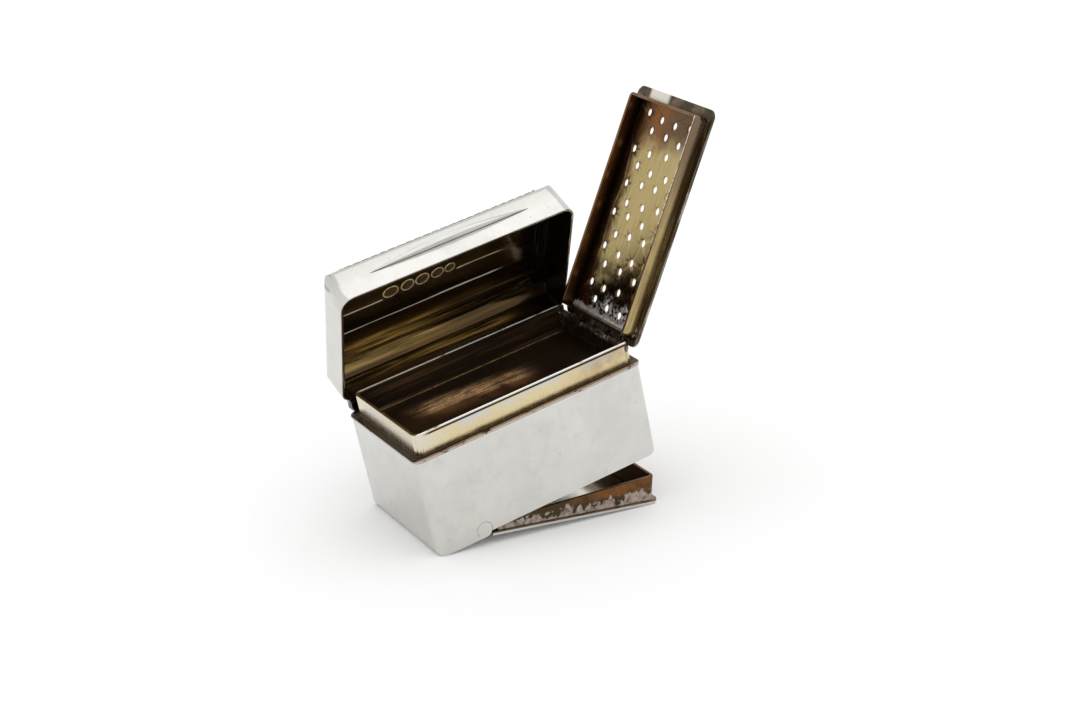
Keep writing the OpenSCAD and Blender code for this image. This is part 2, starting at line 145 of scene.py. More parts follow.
class Shader:
    """A node tree that is being built, for a material or for a shared effect."""

    def __init__(self, tree):
        self.tree = tree

    def feed(self, socket, value):
        """Links what a node makes to a socket, or sets a plain value on it."""
        if isinstance(value, bpy.types.NodeSocket):
            self.tree.links.new(value, socket)
        else:
            socket.default_value = value

    def add(self, kind, inputs=None, **settings):
        made = self.tree.nodes.new(kind)
        for name, value in settings.items():
            setattr(made, name, value)
        for name, value in (inputs or {}).items():
            self.feed(made.inputs[name], value)
        return made

    def effect(self, group, **inputs):
        """Places a shared effect with its own values and returns its outputs by name."""
        made = self.add("ShaderNodeGroup", node_tree=group)
        for name, value in inputs.items():
            self.feed(made.inputs[name], value)
        return made.outputs

    def math(self, operation, first, second=0.0):
        return self.add("ShaderNodeMath", {0: first, 1: second}, operation=operation).outputs[0]

    def vector(self, operation, first, second):
        made = self.add("ShaderNodeVectorMath", {0: first, 1: second}, operation=operation)
        return made.outputs["Value" if operation == "DOT_PRODUCT" else "Vector"]

    def scaled(self, vector, scale):
        made = self.add("ShaderNodeVectorMath", {0: vector, "Scale": scale}, operation="SCALE")
        return made.outputs["Vector"]

    def noise(self, vector, seed, scale, detail, roughness):
        made = self.add(
            "ShaderNodeTexNoise",
            {"Vector": vector, "W": seed, "Scale": scale, "Detail": detail, "Roughness": roughness},
            noise_dimensions="4D",
        )
        return made.outputs["Fac"]

    def ramp(self, value, low, high, to_low=0.0, to_high=1.0):
        """A smooth step of the value between two levels."""
        made = self.add(
            "ShaderNodeMapRange",
            {"Value": value, "From Min": low, "From Max": high, "To Min": to_low, "To Max": to_high},
            interpolation_type="SMOOTHSTEP",
        )
        return made.outputs["Result"]

    def band(self, value, start, full, waning, end):
        """A mask that rises between the first two levels of the value and falls between the last two."""
        return self.both(self.ramp(value, start, full), self.ramp(value, end, waning))

    def level(self, mask, first, second):
        """The first number where the mask is 0, the second where it is 1."""
        return self.ramp(mask, 0.0, 1.0, first, second)

    def rubbed(self, marks, smooth, rough):
        """A roughness between two levels that follows rubbing marks."""
        return self.ramp(marks["Grain"], 0.3, 0.7, smooth, rough)

    def wander(self, value, patches, reach):
        """The value shifted to and fro by uneven patches, within a reach."""
        shift = self.math("SUBTRACT", patches["Grain"], 0.5)
        return self.math("ADD", value, self.math("MULTIPLY", shift, reach))

    def both(self, *masks):
        """The product of masks."""
        result = masks[0]
        for mask in masks[1:]:
            result = self.math("MULTIPLY", result, mask)
        return result

    def either(self, *masks):
        """The greatest of masks."""
        result = masks[0]
        for mask in masks[1:]:
            result = self.math("MAXIMUM", result, mask)
        return result

    def blend(self, mask, first, second):
        """The first colour where the mask is 0, the second where it is 1."""
        made = self.add("ShaderNodeMix", data_type="RGBA")
        for socket, value in ((made.inputs[0], mask), (made.inputs[6], first), (made.inputs[7], second)):
            self.feed(socket, value)
        return made.outputs[2]

    def paint(self, ground, *coats):
        """A ground colour under coats, each given as its mask and its colour, the last on top."""
        for mask, colour in coats:
            ground = self.blend(mask, ground, colour)
        return ground


class Metal(Shader):
    """A new metal material that is being built."""

    def __init__(self, name):
        self.material = bpy.data.materials.new(name)
        self.material.use_nodes = True
        super().__init__(self.material.node_tree)
        self.surface = self.tree.nodes["Principled BSDF"].inputs

    def dress(self, colour, roughness, metallic=1.0):
        """Sets the surface's colour, roughness and metallic, as plain values or from nodes."""
        self.feed(self.surface["Base Color"], colour)
        self.feed(self.surface["Roughness"], roughness)
        self.feed(self.surface["Metallic"], metallic)

    def relief(self, height, depth):
        """Raises the surface by a height map, over a depth in millimetres."""
        bump = self.add("ShaderNodeBump", {"Height": height, "Strength": 1.0, "Distance": depth * MM})
        self.feed(self.surface["Normal"], bump.outputs["Normal"])


def shared_effect(name, inputs, outputs):
    """An empty shader node group with named sockets, the builder of its tree, and its ends inside."""
    group = bpy.data.node_groups.new(name, "ShaderNodeTree")
    for socket, start in inputs.items():
        kind = "NodeSocketFloat" if isinstance(start, float) else "NodeSocketVector"
        group.interface.new_socket(socket, in_out="INPUT", socket_type=kind).default_value = start
    for socket in outputs:
        kind = "NodeSocketColor" if socket == "Colour" else "NodeSocketFloat"
        group.interface.new_socket(socket, in_out="OUTPUT", socket_type=kind)
    shader = Shader(group)
    given = shader.add("NodeGroupInput").outputs
    result = shader.add("NodeGroupOutput").inputs
    return group, shader, given, result


def make_inner_faces():
    """Mask of the faces that look towards a given point, which are the inside of a shell round it."""
    group, shader, given, result = shared_effect("inner_faces", {"Centre": (0, 0, 0)}, ["Mask"])
    place = shader.add("ShaderNodeTexCoord").outputs
    away = shader.vector("SUBTRACT", place["Object"], given["Centre"])
    facing = shader.vector("DOT_PRODUCT", place["Normal"], away)
    shader.feed(result["Mask"], shader.math("LESS_THAN", facing, 0.0))
    return group


def make_spot():
    """Where a point lies on a leaf, in millimetres in the closed box's frame."""
    axes = {"X": "Along", "Y": "Across", "Z": "Up"}
    group, shader, given, result = shared_effect(
        "spot", {"Origin": (0, 0, 0), "Along": (1, 0, 0), "Across": (0, 1, 0), "Up": (0, 0, 1)}, axes
    )
    place = shader.add("ShaderNodeTexCoord").outputs
    offset = shader.vector("SUBTRACT", place["Object"], given["Origin"])
    for name, axis in axes.items():
        distance = shader.vector("DOT_PRODUCT", offset, given[axis])
        shader.feed(result[name], shader.math("DIVIDE", distance, MM))
    return group


def make_clouds():
    """Soft uneven patches: the size of a patch in millimetres, and how much of the surface they take."""
    group, shader, given, result = shared_effect(
        "clouds", {"Size": 4.0, "Cover": 0.5, "Softness": 0.15, "Seed": 0.0}, ["Mask", "Grain"]
    )
    place = shader.add("ShaderNodeTexCoord").outputs
    scale = shader.math("DIVIDE", 1 / MM, given["Size"])
    grain = shader.noise(place["Object"], given["Seed"], scale, detail=6.0, roughness=0.6)
    level = shader.math("SUBTRACT", 1.0, given["Cover"])
    low = shader.math("SUBTRACT", level, given["Softness"])
    high = shader.math("ADD", level, given["Softness"])
    shader.feed(result["Mask"], shader.ramp(grain, low, high))
    shader.feed(result["Grain"], grain)
    return group


def make_streaks():
    """Rubbing marks that run along one axis, with their width and length in millimetres."""
    group, shader, given, result = shared_effect(
        "streaks", {"Axis": (1, 0, 0), "Width": 0.05, "Length": 4.0, "Seed": 0.0}, ["Grain", "Mask"]
    )
    place = shader.add("ShaderNodeTexCoord").outputs
    along = shader.vector("DOT_PRODUCT", place["Object"], given["Axis"])
    lengthwise = shader.scaled(given["Axis"], along)
    crosswise = shader.vector("SUBTRACT", place["Object"], lengthwise)
    fine = shader.math("DIVIDE", 1 / MM, given["Width"])
    coarse = shader.math("DIVIDE", 1 / MM, given["Length"])
    stretched = shader.vector("ADD", shader.scaled(crosswise, fine), shader.scaled(lengthwise, coarse))
    grain = shader.noise(stretched, given["Seed"], 1.0, detail=3.0, roughness=0.5)
    shader.feed(result["Grain"], grain)
    shader.feed(result["Mask"], shader.ramp(grain, 0.45, 0.65))
    return group


inner_faces = make_inner_faces()
spot = make_spot()
clouds = make_clouds()
streaks = make_streaks()


def make_hand_polish():
    """Old hand-polished silver sheet: hazy, smudged and pitted, and rubbed along one axis."""
    group, shader, given, result = shared_effect(
        "hand_polish", {"Axis": (0, 0, 1)}, ["Colour", "Roughness", "Height"]
    )
    haze = shader.effect(clouds, Size=7.0, Cover=0.5, Softness=0.25, Seed=1.0)
    blush = shader.effect(clouds, Size=5.0, Cover=0.47, Softness=0.12, Seed=1.5)
    smudge = shader.effect(clouds, Size=2.2, Cover=0.4, Softness=0.12, Seed=1.8)
    pits = shader.effect(clouds, Size=0.45, Cover=0.31, Softness=0.03, Seed=2.0)
    rubs = shader.effect(streaks, Axis=given["Axis"], Width=0.12, Length=5.0, Seed=2.5)
    colour = shader.paint(
        SILVER,
        (haze["Mask"], SILVER_DULL),
        (shader.both(blush["Mask"], 0.8), SILVER_WARM),
        (shader.both(smudge["Mask"], 0.4), SILVER_WORN),
        (pits["Mask"], PIT_AND_SHADE_GREY),
    )
    height = shader.math("ADD", shader.both(haze["Grain"], 6.0), rubs["Grain"])
    shader.feed(result["Colour"], colour)
    shader.feed(result["Roughness"], shader.rubbed(rubs, 0.12, 0.22))
    shader.feed(result["Height"], height)
    return group


hand_polish = make_hand_polish()


def make_polished_silver():
    """Silver that is polished on every side."""
    shader = Metal("polished_silver_outside")
    silver = shader.effect(hand_polish, Axis=box_up)
    shader.dress(silver["Colour"], silver["Roughness"])
    shader.relief(silver["Height"], POLISH_DEPTH)
    return shader.material


def make_walls():
    """Silver outside, and tarnished gilding inside the lower compartment."""
    shader = Metal("wall_silver_and_gilding")
    silver = shader.effect(hand_polish, Axis=box_up)
    inside = shader.effect(inner_faces, Centre=box.at(0, 0, -7.5))["Mask"]
    stain = shader.effect(clouds, Size=3.0, Cover=0.6, Softness=0.2, Seed=3.0)
    gilding = shader.blend(stain["Mask"], GILT_DARK, TARNISH)
    shader.dress(shader.blend(inside, silver["Colour"], gilding), silver["Roughness"])
    shader.relief(silver["Height"], POLISH_DEPTH)
    return shader.material


# In the finishes below, the levels of place["X"], place["Y"] and place["Z"] are millimetres in the
# closed box's frame


def make_lid():
    """Silver outside with painted shade below the border; dark gilding inside, gold streaks and painted
    reflection lines.
    """
    shader = Metal("lid_silver_and_gilding")
    silver = shader.effect(hand_polish, Axis=box_up)
    place = shader.effect(spot, **lid.axes())
    inside = shader.effect(inner_faces, Centre=lid.at(0, 0, 1.2))["Mask"]
    bands = shader.effect(streaks, Axis=box_along, Width=0.9, Length=16.0, Seed=5.0)
    lines = shader.effect(streaks, Axis=box_along, Width=0.5, Length=12.0, Seed=5.5)

    # Painted shade: the front face below the border turns greyer towards the border, standing in for a
    # darker reflection there
    painted_front_shade = shader.both(shader.ramp(place["Y"], -9.4, -10.4), shader.ramp(place["Z"], 1.8, 4.8))
    outside = shader.blend(shader.both(painted_front_shade, 0.55), silver["Colour"], SILVER_WORN)

    curve = shader.both(shader.ramp(place["Y"], 5.4, 6.4), shader.ramp(place["Z"], 3.7, 4.4))
    curve_gold = shader.both(curve, shader.ramp(place["X"], 5.0, -6.0))
    wall = shader.both(shader.ramp(place["Y"], 8.8, 9.8), shader.ramp(place["X"], 14.0, 7.0))
    wall_gold = shader.both(wall, shader.band(place["Z"], 1.2, 1.9, 2.8, 3.6))
    gold = shader.both(shader.either(curve_gold, wall_gold), shader.ramp(lines["Grain"], 0.36, 0.66))

    ceiling = shader.ramp(place["Z"], 4.9, 5.2)
    by_front = shader.both(ceiling, shader.ramp(place["Y"], -0.2, -0.8))
    y = shader.wander(place["Y"], bands, 0.8)
    before_right_end = shader.ramp(place["X"], 12.0, 9.0)
    # Painted reflection: a thin pale line across the ceiling, for the bezel's bright rim seen in it
    painted_pale_reflection = shader.both(ceiling, shader.band(y, 3.34, 3.42, 3.54, 3.62), before_right_end)
    left_of_marks = shader.ramp(place["X"], -8.4, -9.0)
    right_of_marks = shader.ramp(place["X"], 3.0, 3.6)
    beside_marks = shader.both(shader.either(left_of_marks, right_of_marks), before_right_end)
    # Painted reflection: a thin gold line near the ceiling's front, for the highlight of the lid's inner
    # front rounding
    edge = shader.both(ceiling, shader.band(y, -0.42, -0.32, -0.2, -0.1), beside_marks)

    gilding = shader.paint(
        LID_DEEP,
        (shader.both(bands["Mask"], 0.7), GILT_DARK),
        (shader.both(by_front, 0.7), GILT_DARK),
        (gold, STREAK_GOLD),
        (edge, REFLECTION_LINE_GOLD),
        (painted_pale_reflection, REFLECTION_LINE_PALE),
        (shader.ramp(place["X"], 11.0, 17.0), TARNISH),
    )
    # Less metallic on the gold streaks and on the painted reflection lines, so that they stay light
    film = shader.level(shader.either(gold, edge, painted_pale_reflection), 0.84, 0.3)
    inner_rough = shader.ramp(bands["Grain"], 0.4, 0.7, 0.06, 0.2)
    shader.dress(
        shader.blend(inside, outside, gilding),
        roughness=shader.level(inside, silver["Roughness"], inner_rough),
        metallic=shader.level(inside, 1.0, film),
    )
    shader.relief(silver["Height"], POLISH_DEPTH)
    return shader.material


def make_thumb_silver():
    """Rubbed silver with a painted highlight, and painted shade underneath close to the lid."""
    shader = Metal("thumbpiece_silver_painted_highlight_and_shade")
    place = shader.effect(spot, **lid.axes())
    rubs = shader.effect(streaks, Axis=box_along, Width=0.1, Length=5.0, Seed=2.5)
    normal = shader.add("ShaderNodeTexCoord").outputs["Normal"]
    # Painted shade under the thumbpiece: the faces that look down, close to the lid, are dark
    facing_down = shader.ramp(shader.vector("DOT_PRODUCT", normal, lid.up), -0.3, -0.6)
    below = shader.both(facing_down, shader.ramp(place["Y"], -10.95, -10.7))
    # Painted highlight: the rest of the thumbpiece is lighter than the other silver
    bright = shader.blend(rubs["Mask"], SILVER_HIGHLIGHT, SILVER)
    dull = shader.blend(rubs["Mask"], SILVER_DARK, PIT_AND_SHADE_GREY)
    shader.dress(shader.blend(below, bright, dull), shader.rubbed(rubs, 0.1, 0.2))
    return shader.material


def make_bezel():
    """Pale gilding, worn to silver near the rim, brown at the foot, tarnished inside; painted highlight
    and shade at the rim.
    """
    shader = Metal("pale_worn_gilding")
    place = shader.effect(spot, **box.axes())
    inside = shader.effect(inner_faces, Centre=box.at(0.15, 0, 1.5))["Mask"]
    worn = shader.effect(clouds, Size=3.0, Cover=0.5, Softness=0.12, Seed=6.0)
    stain = shader.effect(clouds, Size=2.2, Cover=0.5, Softness=0.2, Seed=6.5)
    speck = shader.effect(clouds, Size=0.5, Cover=0.5, Softness=0.08, Seed=6.8)
    rubs = shader.effect(streaks, Axis=box_up, Width=0.1, Length=1.5, Seed=6.0)
    bands = shader.effect(streaks, Axis=box_along, Width=0.5, Length=12.0, Seed=6.0)

    upper = shader.ramp(place["Z"], 0.8, 2.6)
    foot = shader.ramp(place["Z"], 0.8, 0.1)
    by_left = shader.ramp(place["X"], -10.0, -16.5)
    by_right = shader.ramp(place["X"], 4.0, 15.0)
    front = shader.ramp(place["Y"], -8.95, -9.2)
    under_rim = shader.band(place["Z"], 2.66, 2.84, 2.98, 3.1)
    # Painted shade: a dark line under the front rim
    shade_line_under_rim = shader.both(under_rim, front, shader.ramp(place["X"], -16.0, -14.5))
    outer = shader.paint(
        GILT_PALE,
        (shader.both(worn["Mask"], upper), SILVER_DULL),
        (shader.both(by_left, 0.6), CREAM),
        (shader.both(by_right, stain["Mask"], 0.7), GILT_BROWN),
        (shader.both(stain["Mask"], foot), BROWN),
        (shader.both(speck["Mask"], foot, 0.6), GILT_BROWN),
        (shade_line_under_rim, TARNISH),
    )

    low = shader.ramp(place["Z"], 1.2, -0.2)
    inner = shader.paint(
        TARNISH,
        (bands["Mask"], UMBER_DARK),
        (shader.both(bands["Mask"], low, by_left), GILT_BROWN),
    )

    # Painted highlight on the rim's top at the front and the back, partly wear through to silver
    front_edge = shader.ramp(place["Y"], -9.06, -9.14)
    back_edge = shader.ramp(place["Y"], 8.8, 8.9)
    rim = shader.paint(
        BROWN,
        (by_left, GILT_BROWN),
        (shader.both(back_edge, shader.ramp(worn["Grain"], 0.3, 0.45)), SILVER_HIGHLIGHT),
        (shader.both(front_edge, shader.ramp(worn["Grain"], 0.36, 0.46)), SILVER_HIGHLIGHT),
    )
    sides = shader.blend(inside, outer, inner)
    shader.dress(
        shader.blend(shader.ramp(place["Z"], 3.16, 3.22), sides, rim),
        roughness=shader.level(inside, shader.rubbed(rubs, 0.18, 0.34), 0.3),
        metallic=shader.level(inside, 1.0, 0.5),
    )
    shader.relief(shader.both(rubs["Grain"], shader.level(inside, 1.0, 0.0)), BEZEL_RUB_DEPTH)
    return shader.material


def make_compartment():
    """Dark brown floor, with a painted pool of light towards the middle: streaky copper and gold on grainy
    gilding.
    """
    shader = Metal("brown_floor_gilding")
    place = shader.effect(spot, **box.axes())
    grain = shader.effect(clouds, Size=0.3, Cover=0.5, Softness=0.15, Seed=7.0)
    drift = shader.effect(clouds, Size=3.0, Cover=0.6, Softness=0.2, Seed=7.5)
    rubs = shader.effect(streaks, Axis=box_along, Width=0.35, Length=6.0, Seed=7.0)
    # Painted pool of light on the floor, where light falls between the walls' shadows; the grainy gilding
    # in it is the floor's own
    lean = shader.math("ADD", place["Y"], shader.both(place["X"], 0.12))
    lengthwise = shader.band(place["X"], -13, -8, 3, 9)
    crosswise = shader.band(lean, -2.5, 1.5, 3.5, 6.0)
    patch = shader.both(lengthwise, crosswise, drift["Mask"])
    golden = shader.both(shader.ramp(lean, 0.5, 2.0), shader.ramp(rubs["Grain"], 0.4, 0.55))
    ground = shader.blend(rubs["Mask"], FLOOR_BROWN, BROWN)
    light_pool_colour = shader.paint(
        RUST_BROWN,
        (golden, COPPER_LIGHT_POOL),
        (shader.both(grain["Mask"], 0.6), RUST_BROWN),
    )
    shader.dress(
        shader.blend(patch, ground, light_pool_colour),
        roughness=shader.level(patch, 0.3, 0.5),
        metallic=shader.level(patch, 0.8, 0.2),
    )
    shader.relief(shader.both(grain["Grain"], shader.level(patch, 0.15, 1.0)), DUST_DEPTH)
    return shader.material


def make_ledge():
    """Olive tarnish on the top, worn pinkish at the front, and a pinkish edge with a painted shadow line
    below.
    """
    shader = Metal("ledge_worn_silver")
    place = shader.effect(spot, **box.axes())
    stain = shader.effect(clouds, Size=1.8, Cover=0.5, Softness=0.15, Seed=8.0)
    speck = shader.effect(clouds, Size=0.6, Cover=0.42, Softness=0.06, Seed=8.5)
    front = shader.ramp(place["Y"], -9.7, -9.95)
    worn_front = shader.both(front, shader.ramp(stain["Grain"], 0.66, 0.52))
    top = shader.paint(LEDGE_OLIVE, (stain["Mask"], FLOOR_BROWN), (worn_front, LEDGE_PINK))
    colour = shader.paint(
        LEDGE_PINK,
        (shader.both(stain["Mask"], speck["Mask"]), BROWN),
        (shader.ramp(place["Z"], -0.04, -0.01), top),
        # Painted shadow: a dark line along the bottom of the ledge's edge, where it meets the wall
        (shader.ramp(place["Z"], -0.22, -0.28), TARNISH),
    )
    shader.dress(colour, roughness=0.3)
    shader.relief(stain["Grain"], STAIN_DEPTH)
    return shader.material


def make_grille():
    """Gold in the middle, brown to the ends, tarnish and painted shade at the back, and a streaky worn
    edge outside the walls.
    """
    shader = Metal("grille_gilding")
    place = shader.effect(spot, **grille.axes())
    stain = shader.effect(clouds, Size=4.0, Cover=0.5, Softness=0.25, Seed=9.0)
    blot = shader.effect(clouds, Size=2.4, Cover=0.56, Softness=0.1, Seed=9.3)
    crust = shader.effect(clouds, Size=0.5, Cover=0.5, Softness=0.06, Seed=9.5)
    rubs = shader.effect(streaks, Axis=grille.along, Width=0.15, Length=5.0, Seed=9.0)
    long_rubs = shader.effect(streaks, Axis=grille.along, Width=0.35, Length=7.0, Seed=9.8)

    x = shader.wander(place["X"], stain, 8.0)
    y = shader.wander(place["Y"], stain, 8.0)
    # Tarnish together with painted shade: darker towards the back wall
    back_shade_and_tarnish = shader.ramp(y, 3.0, 7.0)
    by_free_end = shader.ramp(x, -9.0, -13.0)
    reddish = shader.both(by_free_end, shader.ramp(y, -3.0, 2.0))
    by_hinge = shader.both(shader.ramp(x, 6.0, 9.5), blot["Mask"])
    deposits = shader.both(shader.ramp(x, 11.5, 14.0), shader.ramp(place["Y"], 7.0, -1.0), crust["Mask"])
    middle = shader.paint(
        GILT_SOFT,
        (shader.both(rubs["Mask"], 0.4), GILT_BROWN),
        (by_free_end, FREE_END_BROWN),
        (reddish, RUST_BROWN),
        (by_hinge, BROWN),
        (shader.ramp(x, 10.0, 13.0), BROWN),
        (back_shade_and_tarnish, UMBER_DARK),
        (deposits, RESIDUE),
    )

    past_side = shader.ramp(shader.math("ABSOLUTE", place["Y"]), 8.3, 8.45)
    past_end = shader.ramp(place["X"], -16.35, -16.5)
    past_hinge = shader.ramp(place["X"], 15.4, 15.55)
    pale = shader.both(past_end, shader.band(place["Y"], 1.0, 2.0, 5.8, 6.6))
    margin = shader.paint(
        OLIVE,
        (long_rubs["Mask"], SILVER_WORN),
        (shader.both(blot["Mask"], 0.6), BROWN),
        (past_end, shader.blend(blot["Mask"], UMBER, OLIVE)),
        (pale, CREAM),
    )

    colour = shader.blend(shader.either(past_side, past_end, past_hinge), middle, margin)
    rough = shader.math("ADD", shader.rubbed(rubs, 0.22, 0.36), shader.both(deposits, 0.35))
    shader.dress(colour, rough, metallic=shader.level(deposits, 1.0, 0.1))
    height = shader.math("ADD", rubs["Grain"], shader.both(deposits, crust["Grain"], 8.0))
    shader.relief(height, GRILLE_RUB_DEPTH)
    return shader.material


def make_grille_walls():
    """Gold outside, brown towards the free end and inside, with a bright broken edge along the front."""
    shader = Metal("grille_wall_gilding")
    place = shader.effect(spot, **grille.axes())
    inside = shader.effect(inner_faces, Centre=grille.at(-0.5, 0, 2.4))["Mask"]
    stain = shader.effect(clouds, Size=3.0, Cover=0.5, Softness=0.2, Seed=10.0)
    speck = shader.effect(clouds, Size=0.5, Cover=0.56, Softness=0.08, Seed=10.3)
    rubs = shader.effect(streaks, Axis=grille.along, Width=0.2, Length=6.0, Seed=10.0)
    by_free_end = shader.ramp(shader.wander(place["X"], stain, 10.0), 0.0, -12.0)
    outer = shader.paint(
        GILT_SOFT,
        (shader.both(rubs["Mask"], 0.7), GILT_BROWN),
        (shader.both(stain["Mask"], 0.5), UMBER),
        (by_free_end, UMBER),
    )
    inner = shader.blend(shader.ramp(place["Z"], 1.6, 3.2), WALL_RED, TARNISH)
    front_edge = shader.band(place["Y"], -8.14, -8.06, -7.94, -7.86)
    rim = shader.paint(
        WALL_RED,
        (stain["Mask"], UMBER),
        (shader.both(front_edge, speck["Mask"]), CREAM),
    )
    sides = shader.blend(inside, outer, inner)
    colour = shader.blend(shader.ramp(place["Z"], 1.46, 1.38), sides, rim)
    shader.dress(colour, shader.rubbed(rubs, 0.2, 0.34))
    shader.relief(rubs["Grain"], GRILLE_RUB_DEPTH)
    return shader.material


def make_cover_plate():
    """Polished silver below, and tarnished above with a painted patch of light in the tray."""
    shader = Metal("cover_silver_and_tarnish")
    silver = shader.effect(hand_polish, Axis=box_up)
    place = shader.effect(spot, **cover.axes())
    stain = shader.effect(clouds, Size=1.5, Cover=0.5, Softness=0.2, Seed=10.5)
    top = shader.ramp(place["Z"], -14.76, -14.7)
    behind_wall = shader.ramp(place["Y"], -9.1, -8.9)
    # Painted light: a pale patch in the tray behind the front wall
    pale = shader.both(behind_wall, shader.band(place["X"], 1.0, 3.0, 9.0, 11.0))
    tarnish = shader.paint(UMBER, (stain["Mask"], OLIVE), (pale, CREAM))
    shader.dress(shader.blend(top, silver["Colour"], tarnish), silver["Roughness"])
    shader.relief(silver["Height"], POLISH_DEPTH)
    return shader.material


def make_cover_walls():
    """Dark mottled tarnish, rust-brown near the top of the far end and with grey wisps lower down."""
    shader = Metal("cover_wall_tarnish")
    place = shader.effect(spot, **cover.axes())
    inside = shader.effect(inner_faces, Centre=cover.at(4.2, 0, -13.2))["Mask"]
    stain = shader.effect(clouds, Size=2.0, Cover=0.5, Softness=0.2, Seed=10.0)
    wisps = shader.effect(clouds, Size=0.9, Cover=0.4, Softness=0.06, Seed=10.8)
    far = shader.ramp(place["X"], 1.0, 7.0)
    high = shader.ramp(place["Z"], -13.5, -12.6)
    low = shader.ramp(place["Z"], -12.6, -13.6)
    colour = shader.paint(
        BROWN,
        (stain["Mask"], OLIVE),
        (shader.both(far, high, stain["Mask"]), RUST_BROWN),
        (shader.both(wisps["Mask"], low, 0.7), RESIDUE),
        (shader.both(inside, 0.7), GILT_DARK),
    )
    shader.dress(colour, roughness=0.3)
    shader.relief(stain["Grain"], STAIN_DEPTH)
    return shader.material


def make_mottled(name, ground, patches, mottling, roughness, metallic=1.0):
    """One colour with soft patches of another, which are given by their size, cover, softness and seed."""
    shader = Metal(name)
    size, cover, softness, seed = mottling
    mask = shader.effect(clouds, Size=size, Cover=cover, Softness=softness, Seed=seed)["Mask"]
    shader.dress(shader.blend(mask, ground, patches), roughness, metallic)
    return shader.material


PIN_MOTTLING = (0.8, 0.5, 0.2, 11.0)
HINGE_MOTTLING = (1.2, 0.5, 0.2, 11.5)
RIDGE_MOTTLING = (0.5, 0.55, 0.15, 12.0)


def make_crust(name, colour, ground, seed):
    """Rough matt deposit: dirt, solder splashes or dried residue."""
    shader = Metal(name)
    grain = shader.effect(clouds, Size=0.6, Cover=0.55, Softness=0.2, Seed=seed)
    shader.dress(shader.blend(grain["Mask"], ground, colour), roughness=0.45, metallic=0.5)
    shader.relief(grain["Grain"], CRUST_DEPTH)
    return shader.material


finishes = {
    "polished": make_polished_silver(),
    "walls": make_walls(),
    "lid": make_lid(),
    "thumb": make_thumb_silver(),
    "bezel": make_bezel(),
    "compartment": make_compartment(),
    "ledge": make_ledge(),
    "grille": make_grille(),
    "grille_walls": make_grille_walls(),
    "cover_plate": make_cover_plate(),
    "cover_walls": make_cover_walls(),
    "pin": make_mottled("pin_dull_silver", SILVER_WORN, GILT_DARK, PIN_MOTTLING, roughness=0.35),
    "hinge": make_mottled("hinge_dark_silver", SILVER_DARK, TARNISH, HINGE_MOTTLING, roughness=0.25),
    "solder": make_crust("solder_splashes", SOLDER, BROWN, seed=13.0),
    "residue": make_crust("dried_residue", RESIDUE, UMBER, seed=14.0),
    "foot_dirt": make_crust("bezel_foot_dirt", BROWN, TARNISH, seed=14.5),
    "floor_solder": make_crust("floor_solder_gilding", GILT_BROWN, BROWN, seed=14.7),
    "punch_ridge": make_mottled(
        "punch_ridge_gilding", GILT_BROWN, GILT_PALE, RIDGE_MOTTLING, roughness=0.35, metallic=0.3
    ),
    "punch_field": make_crust("punch_field_tarnish", GILT_DARK, TARNISH, seed=15.0),
}

node_finish = {
    "body_walls": "walls",
    "fixed_base_plate": "polished",
    "ledge": "ledge",
    "bezel": "bezel",
    "compartment_floor": "compartment",
    "lid_hinge_case_knuckles": "hinge",
    "lid_hinge_pin": "pin",
    "grille_hinge_bezel_knuckles": "pin",
    "grille_hinge_pin": "pin",
    "base_hinge_case_knuckles": "polished",
    "base_hinge_pin": "polished",
    "lid_shell": "lid",
    "thumbpiece": "thumb",
    "lid_hinge_lid_knuckles": "hinge",
    "grille_plate": "grille",
    "grille_walls": "grille_walls",
    "grille_hinge_plate_knuckles": "grille",
    "cover_plate": "cover_plate",
    "cover_walls": "cover_walls",
    "base_hinge_cover_knuckles": "polished",
}
for name, finish in node_finish.items():
    frame["nodes"][name].data.materials[0] = finishes[finish]

# Edges of sheet metal: the width of each node's rounding, and the distance at which points are one,
# both in millimetres
EDGE_WIDTH = {
    "cover_plate": 0.1,
    "ledge": 0.08,
    "bezel": 0.1,
    "lid_shell": 0.1,
    "grille_plate": 0.08,
    "grille_walls": 0.1,
    "cover_walls": 0.1,
}
SAME_POINT = 0.001
ROUNDED_ANGLE = math.radians(40)
CRISP_ANGLE = math.radians(30)


def weld_points(node):
    """Joins points that lie in one place, so that neighbouring faces share their edge."""
    weld = node.modifiers.new("weld", "WELD")
    weld.merge_threshold = SAME_POINT * MM


def soften_edges(name, width):
    """Rounds the sharp edges of a sheet-metal node by a width in millimetres."""
    node = frame["nodes"][name]
    weld_points(node)
    bevel = node.modifiers.new("bevel", "BEVEL")
    bevel.width = width * MM
    bevel.segments = 2
    bevel.limit_method = "ANGLE"
    bevel.angle_limit = ROUNDED_ANGLE
    bevel.use_clamp_overlap = False
    node.modifiers.new("normals", "WEIGHTED_NORMAL")


def keep_edges(name):
    """Shades each smooth face of a node by itself, so that its edges stay crisp."""
    node = frame["nodes"][name]
    weld_points(node)
    split = node.modifiers.new("split", "EDGE_SPLIT")
    split.split_angle = CRISP_ANGLE


for name, width in EDGE_WIDTH.items():
    soften_edges(name, width)
keep_edges("thumbpiece")


def add_piece(name, points, faces, body, finish_names, face_finish=None):
    """A smooth mesh that moves with a body, with one finish or one for each face."""
    mesh = bpy.data.meshes.new(name)
    mesh.from_pydata(points, [], faces)
    mesh.shade_smooth()
    for finish in finish_names:
        mesh.materials.append(finishes[finish])
    for face, finish in zip(mesh.polygons, face_finish or ()):
        face.material_index = finish
    made = bpy.data.objects.new(name, mesh)
    bpy.context.scene.collection.objects.link(made)
    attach(made, body)


